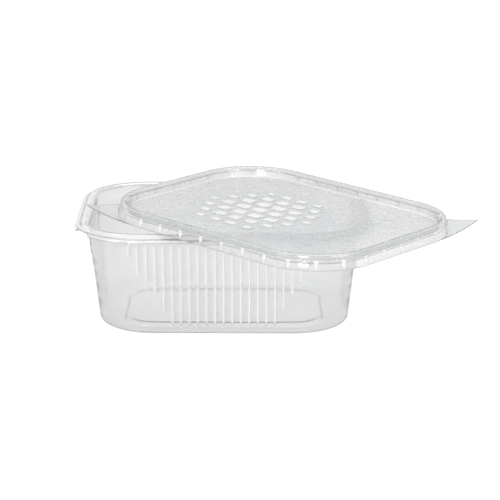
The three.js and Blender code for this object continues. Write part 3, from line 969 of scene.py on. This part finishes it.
def falloff(nodes, links):
    """Brightness over the floor: an oval pool of light that falls off softly."""
    place = nodes.new("ShaderNodeTexCoord")
    shift = nodes.new("ShaderNodeMapping")
    shift.inputs["Location"].default_value = (*(-m / r for m, r in zip(POOL_MIDDLE, POOL_REACH)), 0)
    shift.inputs["Scale"].default_value = (*(1 / r for r in POOL_REACH), 0)
    length = nodes.new("ShaderNodeVectorMath")
    length.operation = "LENGTH"
    links.new(place.outputs["Object"], shift.inputs["Vector"])
    links.new(shift.outputs["Vector"], length.inputs[0])
    return ramp(nodes, links, length.outputs["Value"], FLOOR_LIGHT, FLOOR_DIM, *POOL_EDGE)


def floor_material():
    """Plain white to the camera, and a pool of light to every other ray."""
    material, nodes, links = node_material("floor_white")
    shader = nodes["Principled BSDF"]
    shader.inputs["Roughness"].default_value = FLOOR_ROUGHNESS
    shader.inputs["Specular IOR Level"].default_value = 0.0
    shader.inputs["Emission Color"].default_value = (*WHITE, 1)
    path = nodes.new("ShaderNodeLightPath")
    seen = nodes.new("ShaderNodeMix")
    seen.inputs["B"].default_value = FLOOR_SEEN
    links.new(path.outputs["Is Camera Ray"], seen.inputs["Factor"])
    links.new(falloff(nodes, links), seen.inputs["A"])
    links.new(seen.outputs["Result"], shader.inputs["Emission Strength"])
    mix = nodes.new("ShaderNodeMix")
    mix.data_type = "RGBA"
    mix.inputs["A"].default_value = FLOOR_TONES[0]
    mix.inputs["B"].default_value = FLOOR_TONES[1]
    links.new(noise(nodes, links, FLOOR_GRAIN_SCALE), mix.inputs["Factor"])
    links.new(mix.outputs["Result"], shader.inputs["Base Color"])
    return material


def make_floor():
    """A wide round floor just under the base. It is staging."""
    build = bmesh.new()
    bmesh.ops.create_circle(build, cap_ends=True, segments=FLOOR_SIDES, radius=FLOOR_RADIUS)
    floor = placed("floor", build)
    floor.location = (0, 0, -FLOOR_GAP)
    floor.data.materials.append(floor_material())


def softbox(name, place, size, power, colour):
    """A lamp with a soft rectangular face, aimed at the object and not seen through it."""
    light = bpy.data.lights.new(name, "AREA")
    light.shape = "RECTANGLE"
    light.size, light.size_y = size
    light.energy = power
    light.color = colour
    box = bpy.data.objects.new(name, light)
    box.location = place
    box.visible_transmission = False
    box.rotation_euler = (Vector(AIM) - Vector(place)).to_track_quat("-Z", "Y").to_euler()
    bpy.context.scene.collection.objects.link(box)


def around(azimuth, elevation, distance):
    """A place round the object, by its direction in degrees and its distance."""
    turn, rise = math.radians(azimuth), math.radians(elevation)
    return (distance * math.cos(turn) * math.cos(rise), distance * math.sin(turn) * math.cos(rise),
            distance * math.sin(rise))


def make_lamps():
    """Three warm lamps in front and a large white one overhead."""
    for name, azimuth, elevation, distance, size, power in FRONT_LAMPS:
        softbox(name, around(azimuth, elevation, distance), size, power, WARM)
    softbox("top", TOP_PLACE, TOP_SIZE, TOP_POWER, WHITE)


def make_room():
    """An even room, brighter behind the object and overhead."""
    world = bpy.data.worlds.new("studio")
    world.use_nodes = True
    nodes, links = world.node_tree.nodes, world.node_tree.links
    place = nodes.new("ShaderNodeTexCoord")
    facing = nodes.new("ShaderNodeVectorMath")
    facing.operation = "DOT_PRODUCT"
    facing.inputs[1].default_value = Vector(BACKDROP_TOWARDS).normalized()
    parts = nodes.new("ShaderNodeSeparateXYZ")
    brightest = nodes.new("ShaderNodeMath")
    brightest.operation = "MAXIMUM"
    links.new(place.outputs["Generated"], facing.inputs[0])
    links.new(place.outputs["Generated"], parts.inputs["Vector"])
    backdrop = ramp(nodes, links, facing.outputs["Value"], ROOM, BACKDROP, *BACKDROP_EDGE)
    ceiling = ramp(nodes, links, parts.outputs["Z"], ROOM, CEILING, *CEILING_EDGE)
    links.new(backdrop, brightest.inputs[0])
    links.new(ceiling, brightest.inputs[1])
    links.new(brightest.outputs["Value"], nodes["Background"].inputs["Strength"])
    nodes["Background"].inputs["Color"].default_value = ROOM_TONE
    bpy.context.scene.world = world


# The camera, placed from the middle of the tub's base

CAMERA_TARGET = (13.23, 0.0, 31.75)
CAMERA_DISTANCE = 1028.5
CAMERA_ELEVATION = math.radians(15.46)
CAMERA_YAW = math.radians(-0.26)
CAMERA_ROLL = math.radians(0.21)
LENS = 143.16
SENSOR = 36.0
CLIP = (0.05, 20.0)


def make_camera():
    """The photo's camera: its own axes first, then its place along them."""
    back = Vector((math.sin(CAMERA_YAW) * math.cos(CAMERA_ELEVATION),
                   -math.cos(CAMERA_YAW) * math.cos(CAMERA_ELEVATION),
                   math.sin(CAMERA_ELEVATION)))
    level = Vector((math.cos(CAMERA_YAW), math.sin(CAMERA_YAW), 0))
    upright = back.cross(level)
    right = level * math.cos(CAMERA_ROLL) + upright * math.sin(CAMERA_ROLL)
    up = upright * math.cos(CAMERA_ROLL) - level * math.sin(CAMERA_ROLL)
    data = bpy.data.cameras.new("camera")
    data.lens = LENS
    data.sensor_width = SENSOR
    data.clip_start, data.clip_end = CLIP
    camera = bpy.data.objects.new("camera", data)
    turn = Matrix((right, up, back)).transposed().to_4x4()
    place = TUB_MIDDLE + Vector(CAMERA_TARGET) * MM + back * CAMERA_DISTANCE * MM
    camera.matrix_world = Matrix.Translation(place) @ turn
    bpy.context.scene.collection.objects.link(camera)
    bpy.context.scene.camera = camera


# Light paths

MOST_BOUNCES = 32
SKIN_BOUNCES = 28
TRANSPARENT_BOUNCES = 16
BRIGHTEST_BOUNCE = 1.0
BLUR = 0.5


def set_light_paths():
    """Enough bounces for light that is caught between many clear skins."""
    cycles = bpy.context.scene.cycles
    cycles.max_bounces = MOST_BOUNCES
    cycles.transmission_bounces = SKIN_BOUNCES
    cycles.glossy_bounces = SKIN_BOUNCES
    cycles.transparent_max_bounces = TRANSPARENT_BOUNCES
    cycles.sample_clamp_indirect = BRIGHTEST_BOUNCE
    cycles.blur_glossy = BLUR
    cycles.denoising_prefilter = "ACCURATE"
    cycles.denoising_input_passes = "RGB_ALBEDO_NORMAL"


make_tub([plastic("tub_clear", TUB_TONES, TUB_HAZE, TUB_DENSITY)])
make_lid([plastic("lid_clear", LID_TONES, LID_HAZE, LID_DENSITY)])
make_floor()
make_lamps()
make_room()
make_camera()
set_light_paths()
bpy.context.scene.view_settings.view_transform = "Standard"
